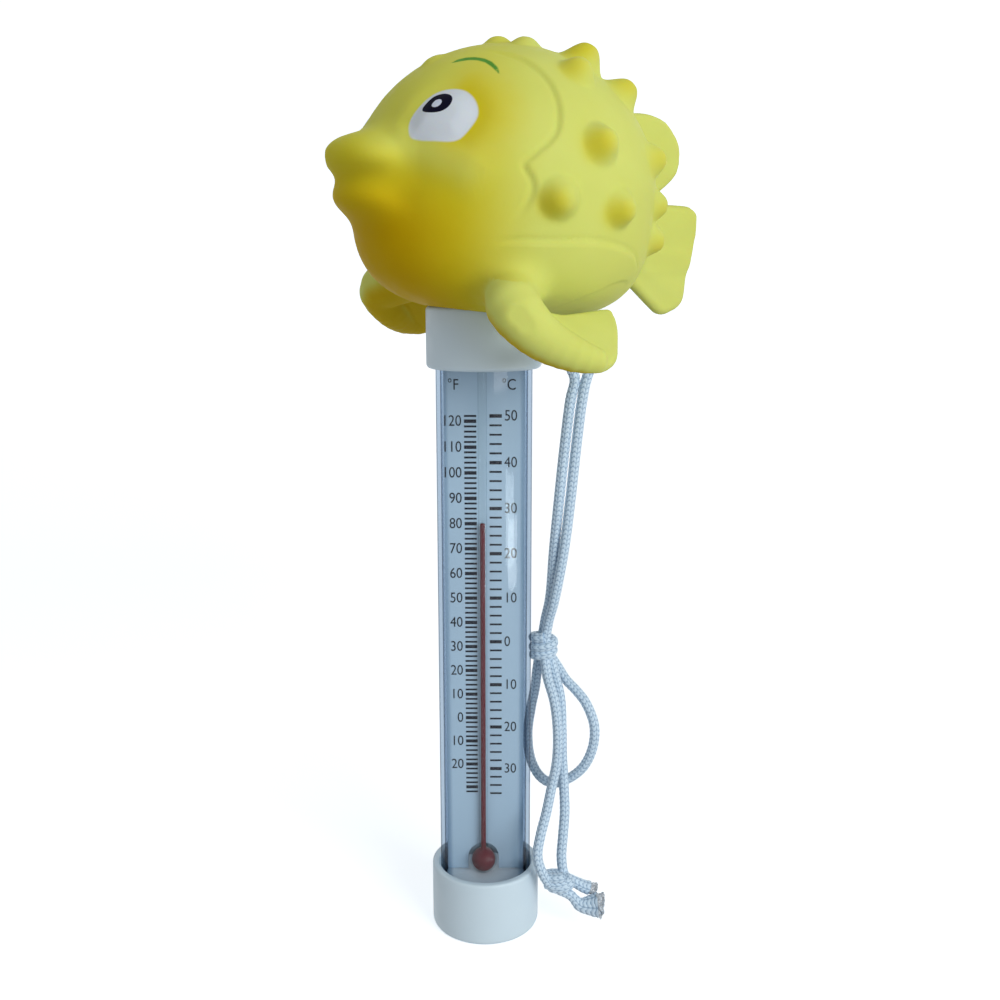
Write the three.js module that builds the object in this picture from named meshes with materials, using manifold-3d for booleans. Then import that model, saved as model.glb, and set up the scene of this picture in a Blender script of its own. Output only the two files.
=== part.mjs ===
// A floating pool thermometer: a clear tube with a printed card and a glass stem inside, a white cap at each end,
// a hollow puffer-fish float pushed onto the top cap, and a doubled cord that hangs from a lug on the top cap.
// Millimetres, +Z up. The origin is the middle of the bottom cap's flat underside. The scale faces -Y.
import * as THREE from "three";
import { ConvexGeometry } from "three/addons/geometries/ConvexGeometry.js";
import { mergeVertices } from "three/addons/utils/BufferGeometryUtils.js";
import Module from "manifold-3d";

const GAP = 0.3; // clearance between neighbouring pieces
const FINE_GAP = 0.12; // clearance inside the glass stem
const SIDES = 30; // facets round the tube and the caps

// Tube and caps
const TUBE_RADIUS = 12;
const TUBE_WALL = 1.1;
const TUBE_BOTTOM = 4.3;
const TUBE_TOP = 160;
const TUBE_BORE = TUBE_RADIUS - TUBE_WALL;
const CAP_RADIUS = 14.25;
const SOCKET_RADIUS = TUBE_RADIUS + GAP;
const BOTTOM_CAP_HEIGHT = 17.3;
const CAP_FLOOR = 2;
const COLLAR_BOTTOM = 149.8;
const COLLAR_TOP = 165;
const DECK_UNDERSIDE = 162.6;
const SPIGOT_RADIUS = 10;
const SPIGOT_TOP = 183;
const SPIGOT_WALL = 1.6;

// Cord and the lug that it hangs from
const CORD_RADIUS = 1.35;
const CORD_STEP = 6.6;
const BIGHT_STEP = 2.2;
const CORD_END_GAP = 0.9;
const BAR_RADIUS = 3.1;
const BAR_X = 24;
const BAR_Z = 156.9;
const BAR_REACH = 6.1;
const ARM_WIDTH = 2.5;
const ARM_THICKNESS = 4.6;
const ARM_ROOT_X = 12.2;
const BIGHT_RADIUS = BAR_RADIUS + CORD_RADIUS + GAP;

// Scale: the height of 0 degrees C, and one degree C
const ZERO_C = 78.3;
const DEGREE_C = 1.187;
const READING_C = 27;
const STEM_X = -0.5;
const STEM_RADIUS = 1.1;
const STEM_TOP = 155;
const BORE_RADIUS = 0.6;
const SPIRIT_RADIUS = BORE_RADIUS - FINE_GAP;
const BULB_RADIUS = 3.55;
const BULB_WALL = 0.7;
const BULB_Z = 17;
const COLUMN_BOTTOM = 24;
const MENISCUS_HEIGHT = 1;
const MENISCUS_TOP = ZERO_C + READING_C * DEGREE_C;
const CARD_FRONT = 1.4;
const CARD_THICKNESS = 0.6;
const CARD_HALF_WIDTH = 10.2;
const CARD_BOTTOM = 13.6;
const CARD_TOP = 158.5;

// Ballast in the foot of the tube
const DISC_THICKNESS = 2.3;
const DISC_RADIUS = TUBE_BORE - 0.4;
const DISC_COUNT = 3;
const PAD_TOP = 13.3;

// Fish: its own frame has +X forward to the lips, +Y to its left and +Z up, with the origin in the body's middle
const FISH_CENTRE = new THREE.Vector3(5.1, 2.9, 191.7);
const FISH_YAW = 210;
const FISH_NOSE_UP = 3.8;
const FISH_LEFT_DOWN = 3;
const BODY_HALF_LENGTH = 36.4;
const BODY_HALF_WIDTH = 35.2;
const BODY_ABOVE = 33.2;
const BODY_BELOW = 28.8;
const BELLY_SQUARENESS = 3.2;
const SKIN = 2.4;
const NECK_THICKNESS = 6;

const wasm = await Module();
wasm.setup();

// A closed geometry as a solid that can be joined and cut.
function solid(geometry) {
  const bare = geometry.clone();
  bare.deleteAttribute("normal");
  bare.deleteAttribute("uv");
  const merged = mergeVertices(bare, 1e-4);
  const vertProperties = new Float32Array(merged.attributes.position.array);
  const triVerts = new Uint32Array(merged.index.array);
  return new wasm.Manifold(new wasm.Mesh({ numProp: 3, vertProperties, triVerts }));
}

// A solid back as a geometry that three.js can draw.
function geometryOf(shape) {
  const mesh = shape.getMesh();
  const geometry = new THREE.BufferGeometry();
  geometry.setAttribute("position", new THREE.BufferAttribute(mesh.vertProperties, 3));
  geometry.setIndex(new THREE.BufferAttribute(mesh.triVerts, 1));
  const flat = geometry.toNonIndexed();
  flat.computeVertexNormals();
  return flat;
}

// A turned shape about the Z axis from [radius, height] points listed from the bottom upwards on the outside.
function turned(points, sides = SIDES) {
  const profile = points.map(([radius, height]) => new THREE.Vector2(radius, height));
  return new THREE.LatheGeometry(profile, sides).rotateX(Math.PI / 2);
}

// A disc between two heights.
function disc(radius, bottom, top, sides = SIDES) {
  return turned([[0, bottom], [radius, bottom], [radius, top], [0, top]], sides);
}

// A ring or tube between two heights.
function ring(inner, outer, bottom, top, sides = SIDES) {
  return turned([[inner, bottom], [outer, bottom], [outer, top], [inner, top], [inner, bottom]], sides);
}

// A box from its lowest to its highest corner.
function block(low, high) {
  const size = high.map((value, axis) => value - low[axis]);
  const middle = high.map((value, axis) => (value + low[axis]) / 2);
  return new THREE.BoxGeometry(...size).translate(...middle);
}

// The rounded end of a turned outline: points along a quarter circle, from one angle to the other in degrees.
function arc(centreRadius, centreHeight, radius, from, to, count) {
  return Array.from({ length: count + 1 }, (_, index) => {
    const angle = THREE.MathUtils.degToRad(from + ((to - from) * index) / count);
    return [centreRadius + radius * Math.cos(angle), centreHeight + radius * Math.sin(angle)];
  });
}

function bottomCapGeometry() {
  const footRound = 1.5;
  const rimRound = 0.5;
  return turned([
    [0, 0],
    ...arc(CAP_RADIUS - footRound, footRound, footRound, -90, 0, 4),
    ...arc(CAP_RADIUS - rimRound, BOTTOM_CAP_HEIGHT - rimRound, rimRound, 0, 90, 2),
    [SOCKET_RADIUS, BOTTOM_CAP_HEIGHT],
    [SOCKET_RADIUS, CAP_FLOOR],
    [0, CAP_FLOOR],
  ]);
}

// The collar with its tube socket below and the spigot for the fish above, all turned in one.
function collarGeometry() {
  const lipRound = 1.7;
  const topRound = 1.2;
  const spigotBore = SPIGOT_RADIUS - SPIGOT_WALL;
  const spigotFloor = COLLAR_TOP + 0.8;
  return turned([
    [0, DECK_UNDERSIDE],
    [SOCKET_RADIUS, DECK_UNDERSIDE],
    [SOCKET_RADIUS, COLLAR_BOTTOM],
    ...arc(CAP_RADIUS - lipRound, COLLAR_BOTTOM + lipRound, lipRound, -80, 0, 4),
    ...arc(CAP_RADIUS - topRound, COLLAR_TOP - topRound, topRound, 0, 90, 3),
    [SPIGOT_RADIUS, COLLAR_TOP],
    [SPIGOT_RADIUS, SPIGOT_TOP - 1],
    [SPIGOT_RADIUS - 0.7, SPIGOT_TOP],
    [spigotBore, SPIGOT_TOP],
    [spigotBore, spigotFloor],
    [0, spigotFloor],
  ]);
}

// Two arms and a round cross bar, which the cord is looped over.
function lugSolid() {
  const bar = new THREE.CylinderGeometry(BAR_RADIUS, BAR_RADIUS, 2 * BAR_REACH, 24).translate(BAR_X, 0, BAR_Z);
  const low = BAR_Z - ARM_THICKNESS / 2;
  const high = BAR_Z + ARM_THICKNESS / 2;
  const inner = BAR_REACH - ARM_WIDTH;
  const left = block([ARM_ROOT_X, inner, low], [BAR_X, BAR_REACH, high]);
  const right = block([ARM_ROOT_X, -BAR_REACH, low], [BAR_X, -inner, high]);
  return solid(bar).add(solid(left)).add(solid(right));
}

function topCapGeometry() {
  return geometryOf(solid(collarGeometry()).add(lugSolid()));
}

// The card, cut out round the bulb.
function scaleCardGeometry() {
  const back = CARD_FRONT + CARD_THICKNESS;
  const card = block([-CARD_HALF_WIDTH, CARD_FRONT, CARD_BOTTOM], [CARD_HALF_WIDTH, back, CARD_TOP]);
  const notchRadius = BULB_RADIUS + 2 * GAP;
  const round = new THREE.CylinderGeometry(notchRadius, notchRadius, 4 * CARD_THICKNESS, 20);
  const below = block([STEM_X - notchRadius, 0, 0], [STEM_X + notchRadius, back + 1, BULB_Z]);
  return geometryOf(
    solid(card).subtract(solid(round.translate(STEM_X, CARD_FRONT, BULB_Z))).subtract(solid(below)),
  );
}

// The ring that keeps the card flat, with a slot in its underside for the card's top edge.
function cardRetainerGeometry() {
  const bottom = CARD_TOP - 3;
  const top = CARD_TOP + 1.4;
  const slot = block(
    [-CARD_HALF_WIDTH - GAP, CARD_FRONT - GAP, bottom - 1],
    [CARD_HALF_WIDTH + GAP, CARD_FRONT + CARD_THICKNESS + GAP, CARD_TOP + GAP],
  );
  return geometryOf(solid(ring(7.6, TUBE_BORE - 0.2, bottom, top)).subtract(solid(slot)));
}

// The saddle that holds the stem's top end against the card.
function stemClipGeometry() {
  const reach = 3;
  const bottom = 151;
  const top = 154;
  const bridge = block([STEM_X - reach, -2.2, bottom], [STEM_X + reach, CARD_FRONT - GAP, top]);
  const hole = disc(STEM_RADIUS + GAP, bottom - 1, top + 1, 16).translate(STEM_X, 0, 0);
  const throat = block([STEM_X - STEM_RADIUS, 0, bottom - 1], [STEM_X + STEM_RADIUS, CARD_FRONT + 1, top + 1]);
  return geometryOf(solid(bridge).subtract(solid(hole)).subtract(solid(throat)));
}

// The glass stem with its bulb, blown in one. Its bore is open at the top end.
function glassStemGeometry() {
  const neckHeight = BULB_Z + Math.sqrt(BULB_RADIUS ** 2 - STEM_RADIUS ** 2);
  const outerNeck = THREE.MathUtils.radToDeg(Math.asin((neckHeight - BULB_Z) / BULB_RADIUS));
  const innerRadius = BULB_RADIUS - BULB_WALL;
  const innerNeck = THREE.MathUtils.radToDeg(Math.acos(BORE_RADIUS / innerRadius));
  return turned(
    [
      ...arc(0, BULB_Z, BULB_RADIUS, -90, outerNeck, 9),
      [STEM_RADIUS, STEM_TOP],
      [BORE_RADIUS, STEM_TOP],
      ...arc(0, BULB_Z, innerRadius, innerNeck, -90, 8),
    ],
    16,
  );
}

function spiritBulbGeometry() {
  const radius = BULB_RADIUS - BULB_WALL - FINE_GAP;
  const neck = THREE.MathUtils.radToDeg(Math.acos(SPIRIT_RADIUS / radius));
  return turned([...arc(0, BULB_Z, radius, -90, neck, 8), [SPIRIT_RADIUS, COLUMN_BOTTOM], [0, COLUMN_BOTTOM]], 16);
}

function meniscusGeometry() {
  const bottom = MENISCUS_TOP - MENISCUS_HEIGHT;
  return turned([[0, bottom], [SPIRIT_RADIUS, bottom], ...arc(0, MENISCUS_TOP - SPIRIT_RADIUS, SPIRIT_RADIUS, 0, 90, 3)], 12);
}

// One point of the fish's body, scaled from its middle: round above, squarer below.
function bodyPoint(direction, inset) {
  const { x, y, z } = direction;
  const power = z < 0 ? BELLY_SQUARENESS : 2;
  const round = Math.hypot(x, y) ** power + Math.abs(z) ** power;
  const reach = round ** (-1 / power);
  const height = z < 0 ? BODY_BELOW - (inset > 0 ? NECK_THICKNESS : 0) : BODY_ABOVE - inset;
  return new THREE.Vector3(
    x * reach * (BODY_HALF_LENGTH - inset),
    y * reach * (BODY_HALF_WIDTH - inset),
    z * reach * height,
  );
}

// The fish's round body, or the hollow inside it when inset is the skin's thickness.
function bodySolid(inset, around, down) {
  const sphere = new THREE.SphereGeometry(1, around, down).rotateX(Math.PI / 2);
  const position = sphere.attributes.position;
  const direction = new THREE.Vector3();
  for (let index = 0; index < position.count; index += 1) {
    direction.fromBufferAttribute(position, index);
    const point = bodyPoint(direction, inset);
    position.setXYZ(index, point.x, point.y, point.z);
  }
  return solid(sphere);
}

// The convex body round a set of small balls, each [x, y, z, radius].
function hullOfBalls(balls) {
  const points = [];
  for (const [x, y, z, radius] of balls) {
    const ball = new THREE.SphereGeometry(radius, 8, 5).translate(x, y, z);
    const position = ball.attributes.position;
    for (let index = 0; index < position.count; index += 1) {
      points.push(new THREE.Vector3().fromBufferAttribute(position, index));
    }
  }
  return solid(new ConvexGeometry(points));
}

// A row of balls joined one to the next.
function limb(balls) {
  const links = balls.slice(1).map((ball, index) => hullOfBalls([balls[index], ball]));
  return links.reduce((whole, link) => whole.add(link));
}

// The other side's copy of a list of balls.
function mirrored(balls) {
  return balls.map(([x, y, z, radius]) => [x, -y, z, radius]);
}

const FIN_ARM = [
  [11.9, 28, -22.9, 5.8],
  [15.3, 35.2, -26, 5.9],
  [10.4, 38.7, -31.2, 5],
  [3.8, 42.9, -34.4, 3.8],
  [-0.2, 44.2, -35.2, 2.9],
];
const FIN_WEB = [
  [12.6, 32.9, -26.7, 1.5],
  [7.4, 40, -32.7, 1.5],
  [1, 44.2, -36.6, 1.5],
  [-2.6, 44, -36.4, 1.5],
  [-6, 41.8, -34.9, 1.5],
  [-9.3, 37.4, -31.7, 1.5],
  [-12, 31.2, -27.2, 1.5],
  [-12.2, 29.8, -26.1, 1.5],
  [4.4, 33.4, -27.8, 1.5],
];
const DORSAL_FIN = [
  [-30, 0, 19, 1.8],
  [-40, 0, 22, 1.8],
  [-47, 0, 19.5, 1.8],
  [-50, 0, 13, 1.8],
  [-46, 0, 7, 1.8],
  [-32, 0, 4, 1.8],
];
const TAIL_ROOT = [
  [-31, 0, -10, 7],
  [-39, 0, -11, 4.5],
];
const TAIL_UPPER = [
  [-38, 0, -8, 2.6],
  [-52, 0, -0.2, 1.8],
  [-58, 0, -3.8, 1.8],
  [-55, 0, -14, 1.8],
  [-40, 0, -14, 2.4],
];
const TAIL_LOWER = [
  [-38, 0, -12, 2.6],
  [-55.5, 0, -13, 1.8],
  [-53, 0, -23.5, 2],
  [-50, 0, -24.2, 2],
  [-38, 0, -16, 2.6],
];

// Spikes: [degrees round from forward to the left, degrees up, size], all but the middle ones on both sides
const SIDE_SPIKES = [
  [75, 77, 0.55],
  [122, 62, 1.25],
  [135, 45, 1.1],
  [99, 50, 0.9],
  [96, 18, 1],
  [80, -4, 1],
  [106, -5, 1],
  [135, 17, 0.9],
  [144, -15, 0.9],
  [143, 0, 0.8],
  [160, 62, 0.9],
];
const MIDDLE_SPIKES = [
  [0, 54, 0.45],
  [0, 82, 0.65],
];
const SPIKE_PROFILE = [
  [0, -1],
  [4.4, -1],
  [2.9, 1.9],
  [1.6, 3.7],
  [0, 4.1],
];

// One spike, standing square on the body.
function spikeSolid([around, up, size]) {
  const azimuth = THREE.MathUtils.degToRad(around);
  const elevation = THREE.MathUtils.degToRad(up);
  const direction = new THREE.Vector3(
    Math.cos(azimuth) * Math.cos(elevation),
    Math.sin(azimuth) * Math.cos(elevation),
    Math.sin(elevation),
  );
  const foot = bodyPoint(direction, 0);
  const turn = new THREE.Quaternion().setFromUnitVectors(new THREE.Vector3(0, 0, 1), direction);
  const spike = turned(SPIKE_PROFILE, 7).scale(size, size, size).applyQuaternion(turn);
  return solid(spike.translate(foot.x, foot.y, foot.z));
}

// A lip: a ball stretched across the mouth.
function lipSolid(forward, up, halfDepth, halfWidth, halfHeight) {
  const ball = new THREE.SphereGeometry(1, 12, 8).rotateX(Math.PI / 2);
  return solid(ball.scale(halfDepth, halfWidth, halfHeight).translate(forward, 0, up));
}

// The whole outside of the fish, in its own frame.
function fishOutside() {
  const fins = [limb(FIN_ARM), hullOfBalls(FIN_WEB), limb(mirrored(FIN_ARM)), hullOfBalls(mirrored(FIN_WEB))];
  const tail = [limb(TAIL_ROOT), hullOfBalls(TAIL_UPPER), hullOfBalls(TAIL_LOWER), hullOfBalls(DORSAL_FIN)];
  const lips = [lipSolid(35, 4.3, 9.9, 13.5, 5.6), lipSolid(34.5, -3.8, 8, 12, 5)];
  const otherSide = SIDE_SPIKES.map(([around, up, size]) => [-around, up, size]);
  const spikes = [...SIDE_SPIKES, ...otherSide, ...MIDDLE_SPIKES].map(spikeSolid);
  return [...fins, ...tail, ...lips, ...spikes].reduce((whole, piece) => whole.add(piece), bodySolid(0, 30, 20));
}

// The fish in place: hollow, with a seat for the collar and a round neck for the spigot.
function fishGeometry() {
  const turn = new THREE.Euler(
    THREE.MathUtils.degToRad(-FISH_LEFT_DOWN),
    THREE.MathUtils.degToRad(-FISH_NOSE_UP),
    THREE.MathUtils.degToRad(FISH_YAW),
    "ZYX",
  );
  const place = new THREE.Matrix4().makeRotationFromEuler(turn).setPosition(FISH_CENTRE);
  const shell = fishOutside().subtract(bodySolid(SKIN, 20, 12)).transform(place.elements);
  const seat = solid(disc(CAP_RADIUS + GAP, COLLAR_BOTTOM, COLLAR_TOP + GAP));
  const neck = solid(disc(SPIGOT_RADIUS + GAP, COLLAR_TOP - 2, FISH_CENTRE.z));
  return geometryOf(shell.subtract(seat).subtract(neck));
}

// A plain round tube along a smooth route.
function cordGeometry(route, step = CORD_STEP) {
  const curve = new THREE.CatmullRomCurve3(route.map((point) => new THREE.Vector3(...point)));
  const section = new THREE.Shape();
  for (let side = 0; side < 8; side += 1) {
    const angle = (side * Math.PI) / 4;
    const x = CORD_RADIUS * Math.cos(angle);
    const y = CORD_RADIUS * Math.sin(angle);
    if (side === 0) section.moveTo(x, y);
    else section.lineTo(x, y);
  }
  section.closePath();
  const steps = Math.ceil(curve.getLength() / step);
  return new THREE.ExtrudeGeometry(section, { steps, bevelEnabled: false, extrudePath: curve });
}

// An egg-shaped lump.
function lump([x, y, z], [halfX, halfY, halfZ]) {
  return new THREE.SphereGeometry(1, 12, 8).rotateX(Math.PI / 2).scale(halfX, halfY, halfZ).translate(x, y, z);
}

// The cord's routes, from the lug down
const OUTER_STRAND = [
  [28.6, 0, 153.6],
  [26.6, 0, 150.2],
  [25.4, 0, 147],
  [24.4, 0, 141.8],
  [23, 0, 129.2],
  [21.8, 0, 116.4],
  [20.3, 0.3, 103.1],
  [18, 1.8, 89.2],
  [16.6, 4.2, 82.4],
];
const INNER_STRAND = [
  [19.4, 0, 153.6],
  [21.2, 0, 150.2],
  [22.5, 0, 147],
  [21.5, 0, 141.8],
  [20.1, 0, 129.2],
  [18.9, 0, 116.4],
  [17.9, 2, 103.1],
  [17.1, 4.6, 89.2],
  [16, 7, 82.4],
];
const LEFT_LEG = [
  [16.4, 2.8, 68.6],
  [18.3, 0.6, 62],
  [19.2, -0.6, 54],
  [19, -1.2, 46],
  [17.6, -1.8, 38.5],
  [16.2, -4, 32.5],
  [14.6, -7, 27.6],
  [13.8, -8.8, 23],
  [14.7, -9.6, 19.2],
];
const RIGHT_LEG = [
  [18.4, 5, 68.6],
  [20, 3.4, 62],
  [20.4, 2.2, 54],
  [20.6, 1.7, 46],
  [21.1, 0.9, 38],
  [21.3, -0.6, 31],
  [20.8, -2.4, 25],
  [20.4, -4, 19.4],
];
const SLACK_LOOP = [
  [14, 7.8, 68.6],
  [13.5, 9, 63],
  [12.4, 10.6, 56],
  [11.6, 11.3, 48],
  [12.6, 9.9, 41],
  [15.2, 6.8, 37.6],
  [18.4, 5, 36.8],
  [22, 4.2, 38.2],
  [26.2, 2.6, 42.4],
  [28.7, 1.6, 48.6],
  [29, 1.6, 55],
  [26.8, 3.3, 60.6],
  [24.4, 4.9, 63.4],
  [21.6, 6.5, 66],
  [19.4, 8, 69.2],
];
const LEFT_TAIL = [
  [22.6, -8.2, 11.2],
  [25.2, -8.4, 8.6],
  [28.4, -8.2, 8.2],
];
const RIGHT_TAIL = [
  [23.4, -5.2, 13.6],
  [25, -5, 12.6],
  [26.4, -4.9, 11.8],
];
const KNOT_UPPER = { middle: [15.5, 6, 75.4], half: [4, 3.8, 5.6] };
const KNOT_LOWER = { middle: [19.5, -7.2, 14.6], half: [4.4, 3.4, 4] };
const LEFT_TIP = { middle: [30.6, -8.2, 8.4], half: [1.8, 2, 2.8] };
const RIGHT_TIP = { middle: [29, -4.9, 11], half: [2, 2, 1.8] };

// The half turn over the lug's bar, down to just above the two strands of the pair.
function bightRoute() {
  const over = [0, 30, 60, 90, 120, 150, 180].map((degrees) => {
    const angle = THREE.MathUtils.degToRad(degrees);
    return [BAR_X + BIGHT_RADIUS * Math.cos(angle), 0, BAR_Z + BIGHT_RADIUS * Math.sin(angle)];
  });
  const [outerX, , outerZ] = OUTER_STRAND[0];
  const [innerX, , innerZ] = INNER_STRAND[0];
  return [[outerX, 0, outerZ + CORD_END_GAP], ...over, [innerX, 0, innerZ + CORD_END_GAP]];
}

const object = new THREE.Group();

function addPiece(name, geometry, look, x = 0) {
  const mesh = new THREE.Mesh(geometry, new THREE.MeshStandardMaterial(look));
  mesh.name = name;
  mesh.position.x = x;
  object.add(mesh);
}

const YELLOW_VINYL = { color: 0xd2d564, roughness: 0.55, metalness: 0 };
const WHITE_PLASTIC = { color: 0xdfe8ee, roughness: 0.35, metalness: 0 };
const CLEAR_PLASTIC = { color: 0xcfdbe4, roughness: 0.1, metalness: 0, transparent: true, opacity: 0.35 };
const GLASS = { color: 0xe6eef2, roughness: 0.05, metalness: 0, transparent: true, opacity: 0.4 };
const RED_SPIRIT = { color: 0xb01830, roughness: 0.2, metalness: 0 };
const PAPER = { color: 0xe4eaf0, roughness: 0.8, metalness: 0 };
const RUBBER = { color: 0x303234, roughness: 0.8, metalness: 0 };
const FOAM = { color: 0xf0f0ee, roughness: 0.9, metalness: 0 };
const STEEL = { color: 0x9a9da0, roughness: 0.4, metalness: 1 };
const BRAID = { color: 0xe8eef4, roughness: 0.7, metalness: 0 };
const MELTED_NYLON = { color: 0xd8dde0, roughness: 0.15, metalness: 0 };

addPiece("fish_shell", fishGeometry(), YELLOW_VINYL);
addPiece("top_cap", topCapGeometry(), WHITE_PLASTIC);
addPiece("top_seal", disc(TUBE_RADIUS, TUBE_TOP + GAP, DECK_UNDERSIDE - GAP), RUBBER);
addPiece("clear_tube", ring(TUBE_BORE, TUBE_RADIUS, TUBE_BOTTOM, TUBE_TOP), CLEAR_PLASTIC);
addPiece("card_retainer", cardRetainerGeometry(), WHITE_PLASTIC);
addPiece("scale_card", scaleCardGeometry(), PAPER);
addPiece("stem_clip", stemClipGeometry(), WHITE_PLASTIC);
addPiece("glass_stem", glassStemGeometry(), GLASS, STEM_X);
addPiece("spirit_bulb", spiritBulbGeometry(), RED_SPIRIT, STEM_X);
const columnTop = MENISCUS_TOP - MENISCUS_HEIGHT - FINE_GAP;
addPiece("spirit_column", disc(SPIRIT_RADIUS, COLUMN_BOTTOM + FINE_GAP, columnTop, 12), RED_SPIRIT, STEM_X);
addPiece("spirit_meniscus", meniscusGeometry(), RED_SPIRIT, STEM_X);
for (let number = 0; number < DISC_COUNT; number += 1) {
  const bottom = TUBE_BOTTOM + number * (DISC_THICKNESS + GAP);
  addPiece(`ballast_disc_${number + 1}`, disc(DISC_RADIUS, bottom, bottom + DISC_THICKNESS), STEEL);
}
const padBottom = TUBE_BOTTOM + DISC_COUNT * (DISC_THICKNESS + GAP);
addPiece("ballast_pad", disc(DISC_RADIUS, padBottom, PAD_TOP), FOAM);
addPiece("bottom_seal", disc(TUBE_RADIUS, CAP_FLOOR + GAP, TUBE_BOTTOM - GAP), RUBBER);
addPiece("bottom_cap", bottomCapGeometry(), WHITE_PLASTIC);
addPiece("cord_bight", cordGeometry(bightRoute(), BIGHT_STEP), BRAID);
addPiece("cord_strand_outer", cordGeometry(OUTER_STRAND), BRAID);
addPiece("cord_strand_inner", cordGeometry(INNER_STRAND), BRAID);
addPiece("knot_upper", lump(KNOT_UPPER.middle, KNOT_UPPER.half), BRAID);
addPiece("cord_leg_left", cordGeometry(LEFT_LEG), BRAID);
addPiece("cord_leg_right", cordGeometry(RIGHT_LEG), BRAID);
addPiece("cord_slack_loop", cordGeometry(SLACK_LOOP), BRAID);
addPiece("knot_lower", lump(KNOT_LOWER.middle, KNOT_LOWER.half), BRAID);
addPiece("cord_tail_left", cordGeometry(LEFT_TAIL), BRAID);
addPiece("cord_tail_right", cordGeometry(RIGHT_TAIL), BRAID);
addPiece("tail_tip_left", lump(LEFT_TIP.middle, LEFT_TIP.half), MELTED_NYLON);
addPiece("tail_tip_right", lump(RIGHT_TIP.middle, RIGHT_TIP.half), MELTED_NYLON);

export default object;
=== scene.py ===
"""A floating pool thermometer: a vinyl puffer fish on a clear tube with a printed scale, and a doubled cord.

Lengths are in millimetres and MM turns them into Blender's metres. The frame is the CAD model's own.
"""

import math

import bpy
import numpy as np
from mathutils import Euler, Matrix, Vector


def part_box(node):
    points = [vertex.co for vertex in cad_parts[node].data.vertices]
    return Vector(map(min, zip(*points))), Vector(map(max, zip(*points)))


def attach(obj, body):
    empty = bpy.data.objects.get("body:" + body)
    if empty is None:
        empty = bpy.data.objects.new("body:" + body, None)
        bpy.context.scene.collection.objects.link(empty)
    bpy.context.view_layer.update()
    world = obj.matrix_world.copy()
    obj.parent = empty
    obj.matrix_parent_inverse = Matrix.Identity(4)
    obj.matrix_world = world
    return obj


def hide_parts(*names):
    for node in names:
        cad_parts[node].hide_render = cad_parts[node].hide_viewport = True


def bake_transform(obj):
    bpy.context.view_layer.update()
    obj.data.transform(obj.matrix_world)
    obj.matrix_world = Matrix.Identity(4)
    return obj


MM = 0.001
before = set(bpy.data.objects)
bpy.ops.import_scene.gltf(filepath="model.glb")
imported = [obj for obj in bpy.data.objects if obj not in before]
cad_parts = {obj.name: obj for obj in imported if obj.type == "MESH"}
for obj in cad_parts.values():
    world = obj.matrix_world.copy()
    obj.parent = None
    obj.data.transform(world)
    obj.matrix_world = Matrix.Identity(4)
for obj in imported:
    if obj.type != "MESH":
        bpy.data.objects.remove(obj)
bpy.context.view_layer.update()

# ---------- sizes, as in the CAD model
TUBE_RADIUS = 12
TUBE_WALL = 1.1
TUBE_BOTTOM = 4.3
TUBE_TOP = 160
TUBE_BORE = TUBE_RADIUS - TUBE_WALL
CAP_RADIUS = 14.25
SOCKET_RADIUS = 12.3
CAP_HEIGHT = 17.3
CAP_FLOOR = 2
COLLAR_BOTTOM = 149.8
COLLAR_TOP = 165
DECK_UNDERSIDE = 162.6
SPIGOT_RADIUS = 10
SPIGOT_TOP = 183
SPIGOT_WALL = 1.6
BAR_RADIUS = 3.1
BAR_X = 24
BAR_Z = 156.9
BAR_REACH = 6.1
ARM_WIDTH = 2.5
ARM_THICKNESS = 4.6
ARM_ROOT_X = 12.2

ZERO_C = 78.3
DEGREE_C = 1.187
READING_C = 27
STEM_X = -0.5
STEM_RADIUS = 1.1
STEM_TOP = 155
SEEN_SPIRIT_RADIUS = 0.66
BULB_RADIUS = 3.55
SEEN_BULB_RADIUS = 3.2
BULB_Z = 17
COLUMN_BOTTOM = 24
MENISCUS_TOP = ZERO_C + READING_C * DEGREE_C
MENISCUS_HEIGHT = 0.6
SPIRIT_OVERLAP = 0.2

PRINT_Y = 1.35
LEFT_TICKS = (-5.1, -2.0)
RIGHT_TICKS = (1.3, 4.4)
FINE_TICK = 0.5
BOLD_TICK = 0.9
DIGIT_SIZE = 3.9
DIGIT_WIDTH = 0.86
LEFT_DIGITS_END = -5.7
RIGHT_DIGITS_START = 5
UNIT_PLACES = {"\u00b0F": -7.8, "\u00b0C": 6.2}
UNIT_Z = 145.4

CORD_RADIUS = 1.35
FIT = 0.3
BIGHT_RADIUS = BAR_RADIUS + CORD_RADIUS + FIT

# The fish's own frame: X forward, Y to its left and Z up, from its middle
FISH_CENTRE = np.array([5.1, 2.9, 191.7])
FISH_TURN = np.array(Euler((math.radians(-3), math.radians(-3.8), math.radians(210))).to_matrix())
BODY_HALF_LENGTH = 36.4
BODY_HALF_WIDTH = 35.2
BODY_ABOVE = 33.2
BODY_BELOW = 28.8
BODY_HALF = np.array([BODY_HALF_LENGTH, BODY_HALF_WIDTH, BODY_ABOVE])
BELLY_SQUARENESS = 3.2


# ---------- camera
CAMERA_AT = (3.95, -273.2, 172)
CAMERA_TILT = 11.5


def make_camera():
    """A camera in front of the thermometer, tilted down a little."""
    data = bpy.data.cameras.new("camera")
    data.lens = 39.6
    data.sensor_width = 36
    data.clip_start = 0.01
    camera = bpy.data.objects.new("camera", data)
    camera.location = [away * MM for away in CAMERA_AT]
    camera.rotation_euler = (math.radians(90 - CAMERA_TILT), 0, 0)
    bpy.context.scene.collection.objects.link(camera)
    bpy.context.scene.camera = camera


make_camera()


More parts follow.
